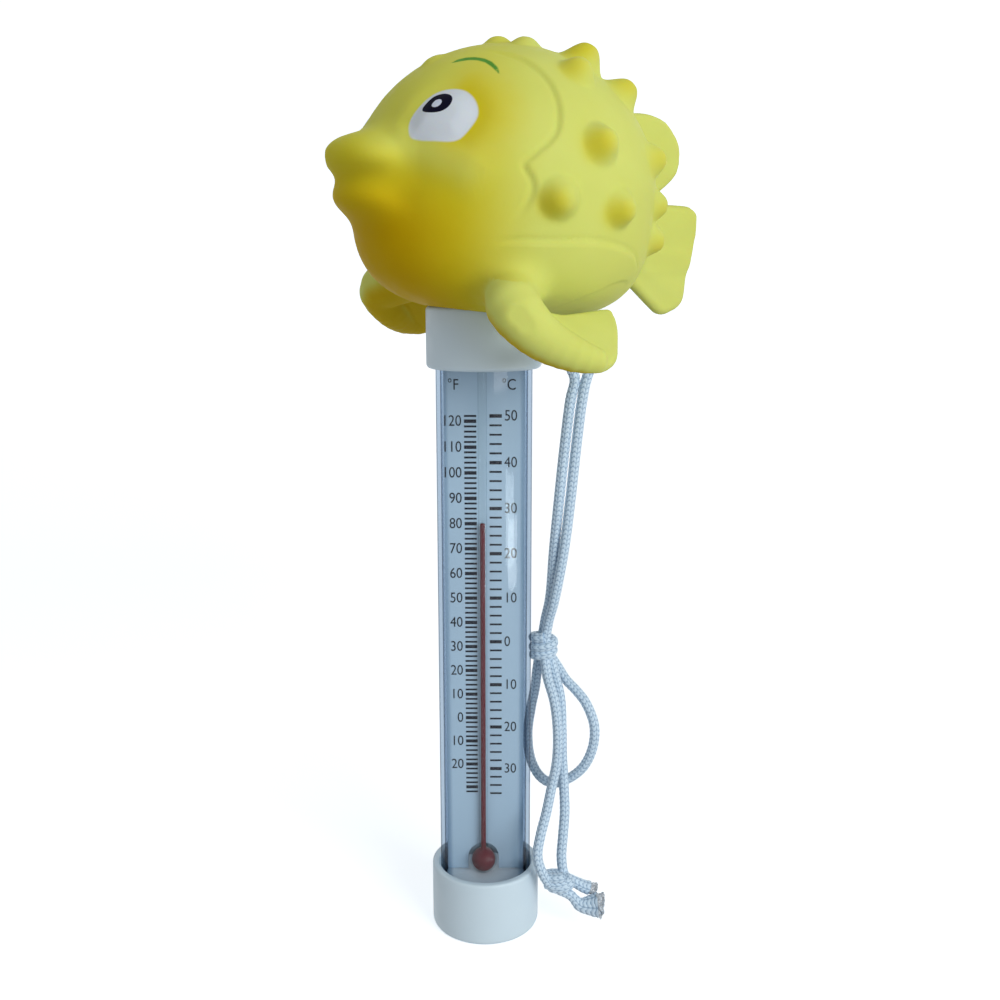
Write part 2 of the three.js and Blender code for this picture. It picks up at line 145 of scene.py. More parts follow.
# ---------- mesh helpers
def mesh_piece(name, vertices, faces, sharp=35):
    """A smooth-shaded mesh object from points in millimetres. Edges over that many degrees stay crisp."""
    mesh = bpy.data.meshes.new(name)
    mesh.from_pydata((np.asarray(vertices, float) * MM).tolist(), [], faces)
    mesh.shade_smooth()
    mesh.set_sharp_from_angle(angle=math.radians(sharp))
    made = bpy.data.objects.new(name, mesh)
    bpy.context.scene.collection.objects.link(made)
    return made


def add_attribute(made, name, values):
    """One number for each of a mesh's points, for its material to read."""
    attribute = made.data.attributes.new(name, "FLOAT", "POINT")
    attribute.data.foreach_set("value", np.asarray(values, np.float32))


def place(made, body, slot, material, *nodes):
    """Gives a piece its material, its body and the CAD nodes that it stands for."""
    made.data.materials.append(material)
    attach(made, body)
    if nodes:
        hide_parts(*nodes)
    return made


def ramp(value, start, end):
    """0 at start and 1 at end, with a smooth step between them."""
    share = np.clip((value - start) / (end - start), 0, 1)
    return share * share * (3 - 2 * share)


def bell(offset, width):
    """1 where offset is 0, falling to nothing over a few widths on both sides."""
    return np.exp(-((offset / width) ** 2))


ROUNDING_STEPS = 6


def rounded(corners):
    """An outline with rounded corners. Each corner is (radius, height) or (radius, height, rounding)."""
    outline = []
    for index, corner in enumerate(corners):
        point = Vector(corner[:2])
        rounding = corner[2] if len(corner) > 2 else 0
        if rounding == 0:
            outline.append(tuple(point))
            continue
        start = point + (Vector(corners[index - 1][:2]) - point).normalized() * rounding
        end = point + (Vector(corners[index + 1][:2]) - point).normalized() * rounding
        for step in range(ROUNDING_STEPS + 1):
            t = step / ROUNDING_STEPS
            outline.append(tuple(start * (1 - t) ** 2 + point * 2 * t * (1 - t) + end * t**2))
    return outline


def turned(name, outline, sides=144, x=0.0):
    """A piece turned about a vertical axis from (radius, height) points, upwards on the outside."""
    closed = outline[0] == outline[-1]
    points = outline[:-1] if closed else outline
    angles = np.linspace(0, 2 * math.pi, sides, endpoint=False)
    vertices, rings = [], []
    for radius, height in points:
        first = len(vertices)
        if radius < 1e-6:
            vertices.append((x, 0, height))
            rings.append([first])
            continue
        vertices += [(x + radius * math.cos(a), radius * math.sin(a), height) for a in angles]
        rings.append(list(range(first, first + sides)))
    if closed:
        rings.append(rings[0])
    faces = []
    for low, high in zip(rings, rings[1:]):
        for side in range(sides):
            after = (side + 1) % sides
            around = ((low, side), (low, after), (high, after), (high, side))
            faces.append(list(dict.fromkeys(ring[at % len(ring)] for ring, at in around)))
    return mesh_piece(name, vertices, faces)


def smooth_route(points, spacing, closed=False):
    """Evenly spaced points on a smooth curve through the given ones."""
    points = np.asarray(points, float)
    if closed:
        padded = np.vstack([points[-1:], points, points[:2]])
    else:
        padded = np.vstack([2 * points[:1] - points[1:2], points, 2 * points[-1:] - points[-2:-1]])
    t = np.linspace(0, 1, 24, endpoint=False)[:, None]
    stretches = []
    for p0, p1, p2, p3 in zip(padded, padded[1:], padded[2:], padded[3:]):
        d0, d1, d2 = (np.linalg.norm(b - a) ** 0.5 for a, b in ((p0, p1), (p1, p2), (p2, p3)))
        leave = ((p1 - p0) / d0 - (p2 - p0) / (d0 + d1) + (p2 - p1) / d1) * d1
        arrive = ((p2 - p1) / d1 - (p3 - p1) / (d1 + d2) + (p3 - p2) / d2) * d1
        stretches.append(
            (2 * t**3 - 3 * t**2 + 1) * p1
            + (t**3 - 2 * t**2 + t) * leave
            + (3 * t**2 - 2 * t**3) * p2
            + (t**3 - t**2) * arrive
        )
    fine = np.vstack([*stretches, points[:1] if closed else points[-1:]])
    along = np.concatenate([[0], np.cumsum(np.linalg.norm(np.diff(fine, axis=0), axis=1))])
    even = np.linspace(0, along[-1], max(3, round(along[-1] / spacing) + 1))
    return np.stack([np.interp(even, along, fine[:, axis]) for axis in range(fine.shape[1])], -1)


# ---------- cord
CORD_SIDES = 42
CORD_STEP = 0.22
STITCH_COLUMNS = 6
STITCH_PITCH = 1.25
STITCH_RELIEF = 0.17
FLARE_LENGTH = 7


def steady_sides(tangents):
    """A direction across the cord at each of its rings, that doesn't twist as the cord bends."""
    side = np.cross(tangents[0], (0.3, 0.9, 0.2))
    sides = []
    for tangent in tangents:
        side = side - tangent * (side @ tangent)
        side = side / np.linalg.norm(side)
        sides.append(side)
    return np.array(sides)


def stitch_relief(along, turn):
    """The braid's height from 0 to 1, by the way along the cord and the share of a turn round it."""
    from_middle = np.abs((turn * STITCH_COLUMNS) % 1 * 2 - 1)
    stitch = (along / STITCH_PITCH - 0.55 * from_middle) % 1
    arm = 1 - np.abs(2 * stitch - 1) ** 3
    notch = np.clip(1 - from_middle / 0.45, 0, 1) * (1 - arm)
    edge = np.clip((from_middle - 0.72) / 0.28, 0, 1) ** 2
    return np.clip(arm - 0.7 * notch - 0.75 * edge, 0, 1)


def braided_tube(route, flare=1.0):
    """A cord with V-shaped stitches along a route: its points, faces, ring centres and relief.

    flare is how many times as thick its far end is."""
    centres = smooth_route(route, CORD_STEP)
    tangents = np.gradient(centres, axis=0)
    tangents /= np.linalg.norm(tangents, axis=1)[:, None]
    sides = steady_sides(tangents)
    across = np.cross(tangents, sides)
    turn = np.arange(CORD_SIDES)[None, :] / CORD_SIDES
    along = np.arange(len(centres))[:, None] * CORD_STEP
    relief = stitch_relief(along, turn)
    swell = 1 + (flare - 1) * np.clip(1 + (along - along[-1]) / FLARE_LENGTH, 0, 1) ** 1.3
    radius = (CORD_RADIUS - STITCH_RELIEF * (1 - relief)) * swell
    angles = 2 * math.pi * turn[:, :, None]
    ring = np.cos(angles) * sides[:, None] + np.sin(angles) * across[:, None]
    points = (centres[:, None] + radius[:, :, None] * ring).reshape(-1, 3)
    faces = []
    for row in range(len(centres) - 1):
        for column in range(CORD_SIDES):
            a, b = row * CORD_SIDES + column, row * CORD_SIDES + (column + 1) % CORD_SIDES
            faces.append((a, b, b + CORD_SIDES, a + CORD_SIDES))
    last = (len(centres) - 1) * CORD_SIDES
    faces.append(tuple(reversed(range(CORD_SIDES))))
    faces.append(tuple(range(last, last + CORD_SIDES)))
    return points, faces, centres, relief.reshape(-1)


def braided_piece(name, routes, flare=1.0):
    """One mesh holding a braided tube along each route, and the ring centres of the last."""
    all_points, all_faces, all_relief = [], [], []
    count = 0
    for route in routes:
        points, faces, centres, relief = braided_tube(route, flare)
        all_points.append(points)
        all_faces += [tuple(corner + count for corner in face) for face in faces]
        all_relief.append(relief)
        count += len(points)
    made = mesh_piece(name, np.vstack(all_points), all_faces, sharp=75)
    add_attribute(made, "relief", np.concatenate(all_relief))
    return made, centres


def over_the_bar(first, last):
    """The cord's turn over the lug's bar between two angles."""
    angles = [math.radians(a) for a in np.linspace(first, last, 4)]
    return [(BAR_X + BIGHT_RADIUS * math.cos(a), 0, BAR_Z + BIGHT_RADIUS * math.sin(a)) for a in angles]


OUTER_STRAND = [
    (28.6, 0, 153.6), (26.6, 0, 150.2), (25.4, 0, 147), (24.4, 0, 141.8), (23, 0, 129.2),
    (21.8, 0, 116.4), (20.3, 0.3, 103.1), (18, 1.8, 89.2), (16.6, 4.2, 82.4),
]
INNER_STRAND = [
    (19.4, 0, 153.6), (21.2, 0, 150.2), (22.5, 0, 147), (21.5, 0, 141.8), (20.1, 0, 129.2),
    (18.9, 0, 116.4), (17.9, 2, 103.1), (17.1, 4.6, 89.2), (16, 7, 82.4),
]
LEFT_LEG = [
    (16.4, 2.8, 68.6), (18.3, 0.6, 62), (19.2, -0.6, 54), (19, -1.2, 46), (17.6, -1.8, 38.5),
    (16.2, -4, 32.5), (14.6, -7, 27.6), (13.8, -8.8, 23), (14.7, -9.6, 19.2),
]
RIGHT_LEG = [
    (18.4, 5, 68.6), (20, 3.4, 62), (20.4, 2.2, 54), (20.6, 1.7, 46), (21.1, 0.9, 38),
    (21.3, -0.6, 31), (20.8, -2.4, 25), (20.4, -4, 19.4),
]
SLACK_LOOP = [
    (14, 7.8, 68.6), (13.5, 9, 63), (12.4, 10.6, 56), (11.6, 11.3, 48), (12.6, 9.9, 41),
    (15.2, 6.8, 37.6), (18.4, 5, 36.8), (22, 4.2, 38.2), (26.2, 2.6, 42.4), (28.7, 1.6, 48.6),
    (29, 1.6, 55), (26.8, 3.3, 60.6), (24.4, 4.9, 63.4), (21.6, 6.5, 66), (19.4, 8, 69.2),
]
LEFT_TAIL = [(22.6, -8.2, 11.2), (25.2, -8.4, 8.6), (28.4, -8.2, 8.2)]
RIGHT_TAIL = [(23.4, -5.2, 13.6), (25, -5, 12.6), (26.4, -4.9, 11.8)]
KNOT_UPPER = (15.5, 6, 75.4)
KNOT_LOWER = (19.5, -7.2, 14.6)
# Each whole cord, with its points in the knots and in its end
OUTER_ROUTE = [
    *over_the_bar(90, 0)[:-1], *OUTER_STRAND, (15.8, 4.6, 75.4), *LEFT_LEG, (17.6, -8.6, 14.2), *LEFT_TAIL,
    (29.8, -8.2, 8.3),
]
INNER_ROUTE = [*over_the_bar(90, 180)[:-1], *INNER_STRAND, (15, 7.6, 75.4), *SLACK_LOOP, (17, 7.6, 73)]
RIGHT_ROUTE = [(17, 5.8, 73.4), *RIGHT_LEG, (21.2, -5.4, 15.4), *RIGHT_TAIL, (27.9, -4.9, 11.3)]
# A knot's wrapped turns: from its middle, reach in X and Y, turns, rise and first angle
UPPER_TURNS = [((0, 0, 1.6), (2.65, 2.5), 1.3, 3.4, 160), ((0, 0, -1.7), (2.5, 2.4), 1.25, 3.2, 20)]
LOWER_TURNS = [((-0.4, 0, 0.9), (2.9, 2.0), 1.3, 2.6, 200), ((0.5, 0, -1.0), (2.5, 2.0), 1.2, 2.4, 30)]
# A melted end's middle and half its size
LEFT_TIP = ((30.6, -8.2, 8.4), (2, 2.8, 3.9))
RIGHT_TIP = ((29, -4.9, 11), (2.1, 2, 1.9))


def wrap(middle, half, turns, rise, start):
    """A turn or more of cord round middle. half is its reach in X and Y, and start its first angle."""
    angles = np.radians(start) + np.linspace(0, 2 * math.pi * turns, round(10 * turns) + 1)
    heights = np.linspace(-rise / 2, rise / 2, len(angles))
    return [
        (middle[0] + half[0] * math.cos(a), middle[1] + half[1] * math.sin(a), middle[2] + z)
        for a, z in zip(angles, heights)
    ]


def make_knot(which, middle, wrapped, material):
    routes = [wrap(np.add(middle, offset), *turns) for offset, *turns in wrapped]
    knot, _ = braided_piece(f"{which}_knot", routes)
    return place(knot, "float_body", "braided_cord", material, f"knot_{which}")


def melted_tip(name, middle, half):
    """A lump of melted nylon, folded and creased as it set, with a hollow in its end."""
    bpy.ops.mesh.primitive_ico_sphere_add(subdivisions=5, radius=1)
    made = bpy.context.object
    made.name = name
    points = np.array([v.co for v in made.data.vertices], float)
    x, y, z = points.T.copy()
    folds = 0.16 * np.sin(5.2 * x + 2.1 * z) * np.cos(4.4 * z - 1.7 * y)
    ripples = 0.06 * np.sin(13 * y + 5 * x) * np.sin(11 * z)
    points *= (0.84 + folds + ripples)[:, None]
    x, y, z = points.T
    points[:, 0] -= 1.1 * np.clip(x, 0, 1) * np.exp(-3 * (y**2 + z**2))
    points = (points * np.array(half) + np.array(middle)) * MM
    made.data.vertices.foreach_set("co", points.astype(np.float32).ravel())
    made.data.shade_smooth()
    return made


def make_cord(name, route, flare, goes_with, material, *nodes):
    """One cord. goes_with, the knot and the melted end that go with it, is not used."""
    made, centres = braided_piece(f"cord_{name}", [route], flare)
    place(made, "float_body", "braided_cord", material, *nodes)


def make_cords(cord, nylon):
    upper = make_knot("upper", KNOT_UPPER, UPPER_TURNS, cord)
    lower = make_knot("lower", KNOT_LOWER, LOWER_TURNS, cord)
    left_tip = melted_tip("left_tip", *LEFT_TIP)
    right_tip = melted_tip("right_tip", *RIGHT_TIP)
    place(left_tip, "float_body", "melted_nylon", nylon, "tail_tip_left")
    place(right_tip, "float_body", "melted_nylon", nylon, "tail_tip_right")
    outer_nodes = ("cord_bight", "cord_strand_outer", "cord_leg_left", "cord_tail_left")
    make_cord("outer", OUTER_ROUTE, 2.5, [lower, left_tip], cord, *outer_nodes)
    make_cord("inner", INNER_ROUTE, 1.0, [upper], cord, "cord_strand_inner", "cord_slack_loop")
    make_cord("right", RIGHT_ROUTE, 1.4, [right_tip], cord, "cord_leg_right", "cord_tail_right")


# ---------- the fish's form
def on_body(azimuth, elevation):
    """The point of the bare body in a direction: degrees round from forward to the left, and degrees up."""
    a, e = math.radians(azimuth), math.radians(elevation)
    direction = np.array([math.cos(a) * math.cos(e), math.sin(a) * math.cos(e), math.sin(e)])
    power = BELLY_SQUARENESS if direction[2] < 0 else 2
    norm = (math.hypot(*direction[:2]) ** power + abs(direction[2]) ** power) ** (1 / power)
    height = BODY_BELOW if direction[2] < 0 else BODY_ABOVE
    return direction / norm * np.array([BODY_HALF_LENGTH, BODY_HALF_WIDTH, height])


# Each spike's place on the body, as for on_body, and its size
SPIKES = [
    (75, 77, 0.5), (122, 62, 1.2), (135, 45, 1.05), (97, 50, 0.9), (96, 18, 1), (80, -4, 1),
    (106, -5, 0.95), (135, 17, 0.9), (144, -15, 0.9), (143, 0, 0.8), (160, 62, 0.9), (0, 82, 0.5),
    (0, 54, 0.25),
]
SPIKE_HEIGHT = 4.2
SPIKE_SPREAD = 5.5
SPIKE_TAPER = 1.5
SPIKE_BLUNTNESS = 2.7
SPIKE_BLEND = 0.4
# A lip's middle and half its size
UPPER_LIP = ((37.3, 0, 3.9), (7.7, 14, 5.3))
LOWER_LIP = ((35.7, 0, -4.5), (7, 12, 4.6))
FIN_ARM = [
    (11.9, 28, -22.9, 6), (15.3, 35.2, -26, 5.9), (10.4, 38.7, -31.2, 5), (3.8, 42.9, -34.4, 3.8),
    (-0.2, 44.2, -35.2, 2.9),
]
FIN_WEB = [
    (12.6, 32.9, -26.7), (7.4, 40, -32.7), (1, 44.2, -36.6), (-2.6, 44, -36.4), (-6, 41.8, -34.9),
    (-9.3, 37.4, -31.7), (-11.9, 32, -27.8), (-12.4, 30, -26.3), (-8.1, 31.2, -26.9), (-2.5, 32.6, -27.6),
    (4.4, 33.6, -27.9),
]
FIN_OUTWARD = np.array([-0.05, 0.61, 0.79])
DORSAL_FIN = [(-30, 0, 19), (-40, 0, 22), (-47, 0, 19.5), (-50, 0, 13), (-46, 0, 7), (-32, 0, 4)]
TAIL_ROOT = [(-31, 0, -10, 7), (-39, 0, -11, 4.5)]
TAIL_UPPER = [(-38, 0, -8), (-50, 0, -0.9), (-58.5, 0, -0.5), (-56.8, 0, -12.8), (-40, 0, -14)]
TAIL_LOWER = [(-38, 0, -12), (-56, 0, -12.3), (-55.3, 0, -22.7), (-52.9, 0, -23.8), (-39.3, 0, -14.5)]
TAIL_ROUNDING = 3
FIN_MARGIN = 12
NECK_ROOM = 4
FAR = 60.0
SKIN_STEP = 0.6


def smooth_min(a, b, blend):
    """The smaller of two distances, with a rounded join where they meet."""
    h = np.clip(0.5 + 0.5 * (b - a) / blend, 0, 1)
    return b + (a - b) * h - blend * h * (1 - h)


def body_norm(points):
    """How many times as far out as the bare body's skin each point is."""
    x, y, z = points.T
    below = z < 0
    power = np.where(below, BELLY_SQUARENESS, 2.0)
    flat = np.hypot(x / BODY_HALF_LENGTH, y / BODY_HALF_WIDTH)
    up = np.abs(z) / np.where(below, BODY_BELOW, BODY_ABOVE)
    return np.maximum((flat**power + up**power) ** (1 / power), 1e-6)


def spike_relief(surface):
    """How far the spikes stand out at points on the bare body."""
    relief = np.zeros(len(surface))
    for azimuth, elevation, size in SPIKES:
        spread = SPIKE_SPREAD * max(size, 0.75) ** 0.5
        apart = np.linalg.norm(surface - on_body(azimuth, elevation), axis=1) / spread
        spike = SPIKE_HEIGHT * size * np.exp(-((SPIKE_TAPER * apart) ** SPIKE_BLUNTNESS))
        relief = smooth_min(relief, -spike, SPIKE_BLEND)
    return -relief


def body_distance(points):
    """Distance outside the round body with its spikes. Both sides are alike, so points have Y from 0."""
    norm = body_norm(points)
    distance = np.linalg.norm(points, axis=1) * (1 - 1 / norm)
    near = np.abs(distance) < 8
    distance[near] -= spike_relief(points[near] / norm[near, None])
    return distance


def ellipsoid_distance(points, centre, half):
    offset = (points - np.array(centre)) / np.array(half)
    k0 = np.linalg.norm(offset, axis=1)
    k1 = np.maximum(np.linalg.norm(offset / np.array(half), axis=1), 1e-9)
    return k0 * (k0 - 1) / k1


def limb_distance(points, balls):
    """Distance outside a row of balls, each given as (x, y, z, radius), joined in one smooth limb."""
    balls = smooth_route(balls, 2.5)
    total = np.full(len(points), FAR)
    for (*a, radius_a), (*b, radius_b) in zip(balls, balls[1:]):
        a, b = np.array(a), np.array(b)
        share = np.clip((points - a) @ (b - a) / ((b - a) @ (b - a)), 0, 1)
        away = np.linalg.norm(points - a - share[:, None] * (b - a), axis=1)
        total = np.minimum(total, away - radius_a - (radius_b - radius_a) * share)
    return total


def outline_distance(flat_points, outline):
    """Signed distance from a closed outline in a plane, less than nothing inside."""
    nearest = np.full(len(flat_points), 1e9)
    inside = np.zeros(len(flat_points), bool)
    x, y = flat_points.T
    for a, b in zip(outline, np.roll(outline, -1, axis=0)):
        edge, offset = b - a, flat_points - a
        share = np.clip(offset @ edge / max(edge @ edge, 1e-12), 0, 1)
        nearest = np.minimum(nearest, ((offset - share[:, None] * edge) ** 2).sum(1))
        if a[1] != b[1]:
            spans = (a[1] > y) != (b[1] > y)
            inside ^= spans & (x < (b[0] - a[0]) * (y - a[1]) / (b[1] - a[1]) + a[0])
    return np.sqrt(nearest) * np.where(inside, -1, 1)


def plate_distance(points, outline, half_thickness, swell, rounding=0):
    """Distance outside a flat fin with rounded edges, thicker by swell on each side in its middle.

    With a rounding, the outline is straight between its corners. Without one, it is a smooth curve."""
    outline = np.array(outline, float)
    middle = outline.mean(0)
    if rounding:
        radius = np.linalg.norm(outline - middle, axis=1).mean()
        outline = middle + (outline - middle) * (1 - rounding / radius)
    else:
        outline = smooth_route(outline, 2.0, closed=True)[:-1]
    _, _, axes = np.linalg.svd(outline - middle)
    local = (points - middle) @ axes.T
    reach = np.abs((outline - middle) @ axes.T).max(0) + FIN_MARGIN
    total = np.full(len(points), FAR)
    near = (np.abs(local) < reach).all(1)
    edge = outline_distance(local[near, :2], (outline - middle) @ axes[:2].T) - rounding
    half = half_thickness + swell * np.clip(-edge / FIN_MARGIN, 0, 1)
    total[near] = np.hypot(np.maximum(edge, 0), local[near, 2]) - half
    return total


def fish_distance(world):
    """Distance outside the whole fish, for points in the model's frame."""
    points = (world - FISH_CENTRE) @ FISH_TURN
    points[:, 1] = np.abs(points[:, 1])
    lips = smooth_min(ellipsoid_distance(points, *UPPER_LIP), ellipsoid_distance(points, *LOWER_LIP), 4.5)
    upper_tail = plate_distance(points, TAIL_UPPER, 1.8, 0.6, TAIL_ROUNDING)
    lower_tail = plate_distance(points, TAIL_LOWER, 1.9, 0.3, TAIL_ROUNDING)
    total = body_distance(points)
    for part, blend in (
        (lips, 6),
        (limb_distance(points, TAIL_ROOT), 4),
        (smooth_min(upper_tail, lower_tail, 1.5), 2),
        (plate_distance(points, DORSAL_FIN, 1.7, 0.5), 2),
        (limb_distance(points, FIN_ARM), 5),
        (plate_distance(points, FIN_WEB, 1.45, 0.3), 0.8),
    ):
        total = smooth_min(total, part, blend)
    radius = np.hypot(world[:, 0], world[:, 1])
    seat = np.maximum(radius - CAP_RADIUS - FIT, world[:, 2] - COLLAR_TOP - FIT)
    neck = np.maximum(radius - SPIGOT_RADIUS - FIT, world[:, 2] - SPIGOT_TOP - NECK_ROOM)
    return -smooth_min(-total, np.minimum(seat, neck), 0.5)


def surface_net(distance, low, high, step):
    """A mesh of the surface where distance is nothing, with a point in each grid cell that it crosses."""
    coarse_step = 4 * step
    counts = np.ceil((high - low) / coarse_step).astype(int)
    middles = [low[axis] + np.arange(counts[axis]) * coarse_step + 1.5 * step for axis in range(3)]
    coarse = distance(np.stack(np.meshgrid(*middles, indexing="ij"), -1).reshape(-1, 3)).reshape(counts)
    value = coarse.repeat(4, 0).repeat(4, 1).repeat(4, 2)
    near = np.nonzero(np.abs(value) < 1.5 * coarse_step)
    value[near] = distance(low + np.stack(near, -1) * step)
    inside = value < 0

    halves = (slice(0, -1), slice(1, None))
    corners = [inside[i, j, k] for i in halves for j in halves for k in halves]
    filled = sum(corner.astype(np.int8) for corner in corners)
    crossed = (filled > 0) & (filled < 8)
    number = np.full(crossed.shape, -1)
    number[crossed] = np.arange(crossed.sum())
    points = low + (np.stack(np.nonzero(crossed), -1) + 0.5) * step

    faces = []
    for axis in range(3):
        first = inside.take(range(inside.shape[axis] - 1), axis)
        second = inside.take(range(1, inside.shape[axis]), axis)
        edge = np.stack(np.nonzero(first != second), -1)
        outward = first[tuple(edge.T)]
        b, c = np.eye(3, dtype=int)[[(axis + 1) % 3, (axis + 2) % 3]]
        ring = [number[tuple((edge + shift).T)] for shift in (0 * b, -b, -b - c, -c)]
        quads = np.stack(ring, -1)
        quads[outward] = quads[outward][:, ::-1]
        faces.append(quads)
    return points, np.vstack(faces)


def slope_of(distance, points, reach):
    """How steeply distance grows along X, Y and Z at points, measured over reach on both sides."""
    rises = [distance(points + shift) - distance(points - shift) for shift in np.eye(3) * reach]
    return np.stack(rises, -1) / (2 * reach)


def settle(points, distance, times):
    """Moves points onto the surface where distance is nothing."""
    for _ in range(times):
        value = distance(points)
        slope = slope_of(distance, points, 0.02)
        points = points - (value / np.maximum((slope**2).sum(1), 0.2))[:, None] * slope
    return points


def relaxed(points, faces):
    """Each point moved halfway to the middle of its neighbours."""
    edges = np.vstack([faces[:, [i, (i + 1) % 4]] for i in range(4)])
    edges = np.vstack([edges, edges[:, ::-1]])
    first, second = edges.T
    total = np.stack([np.bincount(first, points[second, axis], len(points)) for axis in range(3)], -1)
    return 0.5 * points + 0.5 * total / np.bincount(first, minlength=len(points))[:, None]


# Lines on the skin: degrees round from forward to the left, and degrees up
FACE_LINE = [
    (40, 60), (68, 51), (77, 40), (79, 28), (77, 19), (69, 10), (66.6, 7), (70, 0.6), (69, -7),
    (63, -16),
]
BELLY_LINE = [
    (127, -42), (131, -35), (128, -28), (121, -23), (111, -20.5), (95, -19), (75, -21), (66, -21.8),
    (57, -24),
]
CHEEK_RIDGE = [(9, 7.8), (19, 8.1), (28, 7), (35, 5), (43, 2.2), (50, -1.8), (56, -6.6)]
SMILE = [(6, -0.2), (13, -1)]
FACE_HEIGHT = 0.75
FACE_FADE = 9
BELLY_HEIGHT = 0.7
BELLY_FADE = 8
GROOVE_DEPTH = 0.35
GROOVE_WIDTH = 0.6
CHEEK_HEIGHT = 1.1
CHEEK_REACH = 4.5
CHEEK_HOLLOW = 0.1
SMILE_DEPTH = 0.5
SMILE_WIDTH = 1.1
SOCKET_DEPTH = 0.5
SOCKET_WIDTH = 2.5
EYE_BULGE = 0.5
RIB_HEIGHT = 0.1
FADE_HEIGHT = 2.5

# Paint on the skin, in the plane that touches the body at the eye: right is towards the tail
EYE_AT = (35.2, 23)
EYE_DEPTH = 14
RIGHT_EYE_SQUEEZE = 1.25
EYE = [
    (-6.8, -4.1), (-7.6, -1), (-6.4, 2.6), (-4.2, 5.5), (-1.9, 6.7), (0.7, 7.1), (3.1, 6.7), (5.5, 5.1),
    (7.2, 2.7), (7.7, 0.6), (7.1, -1.8), (5.3, -5), (3.6, -5.8), (0, -6), (-3.6, -5.9), (-5.9, -5.4),
]
PUPIL = [
    (-5.2, 1.2), (-4.8, 3.2), (-3.5, 4.9), (-1.4, 5.5), (0.5, 4.9), (1.5, 3.5), (1.4, 1.8), (0.2, 0.5),
    (-1.8, 0), (-4, 0.3),
]
GLINT = [(-2.9, 2), (-2.6, 3.2), (-1.7, 3.6), (-0.8, 3.1), (-0.7, 2.1), (-1.4, 1.4), (-2.3, 1.4)]
BROW = [
    (-3.9, 15.3), (-3.1, 16.5), (-1.3, 17.3), (0.8, 17.5), (3.2, 17.1), (5.4, 16.1), (7.4, 14.4),
    (8.9, 12.1), (7.6, 13.2), (6, 14.5), (4.1, 15.7), (2, 16.3), (0, 16.3), (-2, 15.8),
]


def line_offset(points, line):
    """How far points lie to the left of a line on the body, and how far they are from its ends.

    Left is as seen looking out, and the second is a share of the line's length, from its nearer end."""
    samples = smooth_route([on_body(*at) for at in line], 0.6)
    tangents = np.gradient(samples, axis=0)
    left = np.cross(samples / BODY_HALF**2, tangents)
    left /= np.linalg.norm(left, axis=1)[:, None]
    best = np.full(len(points), 1e9)
    nearest = np.zeros(len(points), int)
    for index, sample in enumerate(samples):
        apart = ((points - sample) ** 2).sum(1)
        closer = apart < best
        best[closer] = apart[closer]
        nearest[closer] = index
    tangents /= np.linalg.norm(tangents, axis=1)[:, None]
    from_sample = points - samples[nearest]
    side = (from_sample * left[nearest]).sum(1)
    beside = (nearest > 0) & (nearest < len(samples) - 1)
    best -= np.where(beside, (from_sample * tangents[nearest]).sum(1) ** 2, 0)
    share = nearest / (len(samples) - 1)
    return np.sqrt(np.maximum(best, 0)) * np.sign(side), np.minimum(share, 1 - share)


def step_relief(points, line, height, fade):
    """A raised panel's edge on the left of a line: it stands up over a groove and fades away from it."""
    offset, from_end = line_offset(points, line)
    panel = height * ramp(offset, -0.3, 1.2) * np.exp(-np.maximum(offset, 0) / fade)
    groove = GROOVE_DEPTH * bell(offset, GROOVE_WIDTH)
    return panel * ramp(from_end, 0, 0.22) - groove * ramp(from_end, 0, 0.1)


def cheek_relief(points):
    """The soft fold under the eye: it stands up over the cheek, which is hollow just below it."""
    offset, from_end = line_offset(points, CHEEK_RIDGE)
    fold = CHEEK_HEIGHT * ramp(offset, -CHEEK_REACH, CHEEK_REACH)
    fold *= np.exp(-np.maximum(offset - CHEEK_REACH, 0) / 6)
    return (fold - CHEEK_HOLLOW * bell(offset + 6, 3.5)) * ramp(from_end, 0, 0.25)


def eye_plane(points):
    """Points as seen square on to the eye, as (right, up), and how far out they are from its middle."""
    centre = on_body(*EYE_AT)
    outward = centre / BODY_HALF**2
    outward /= np.linalg.norm(outward)
    right = np.cross((0, 0, 1), outward)
    right /= np.linalg.norm(right)
    up = np.cross(outward, right)
    return np.stack([(points - centre) @ right, (points - centre) @ up], -1), (points - centre) @ outward


def fish_relief(surface):
    """How far the skin stands out over its plain form at points on the bare body."""
    relief = np.zeros(len(surface))
    in_front = surface[:, 0] > -30
    face = surface[in_front]
    smile, _ = line_offset(face, SMILE)
    flat, _ = eye_plane(face)
    socket = outline_distance(flat, np.array(EYE))
    relief[in_front] = (
        step_relief(face, FACE_LINE, FACE_HEIGHT, FACE_FADE)
        + step_relief(face, BELLY_LINE, BELLY_HEIGHT, BELLY_FADE)
        + cheek_relief(face)
        - SMILE_DEPTH * bell(smile, SMILE_WIDTH)
        - SOCKET_DEPTH * bell(socket, SOCKET_WIDTH)
        + EYE_BULGE * np.clip(-socket / 4, 0, 1)
    )
    return relief


def rib_relief(own):
    """Faint ribs that fan out over the tail, the back fin and the side fins' webs."""
    x, y, z = own.T
    at_back = np.clip((-x - 40) / 6, 0, 1)
    from_root = np.arctan2(z - np.where(z > 2, 10, -11), -(x + 30))
    on_web = (y > 26) & (z < -20)
    on_web[on_web] = limb_distance(own[on_web], FIN_ARM) > 0.6
    from_shoulder = np.arctan2(z + 20, 14 - x)
    return RIB_HEIGHT * (at_back * np.cos(18 * from_root) + on_web * np.cos(20 * from_shoulder))


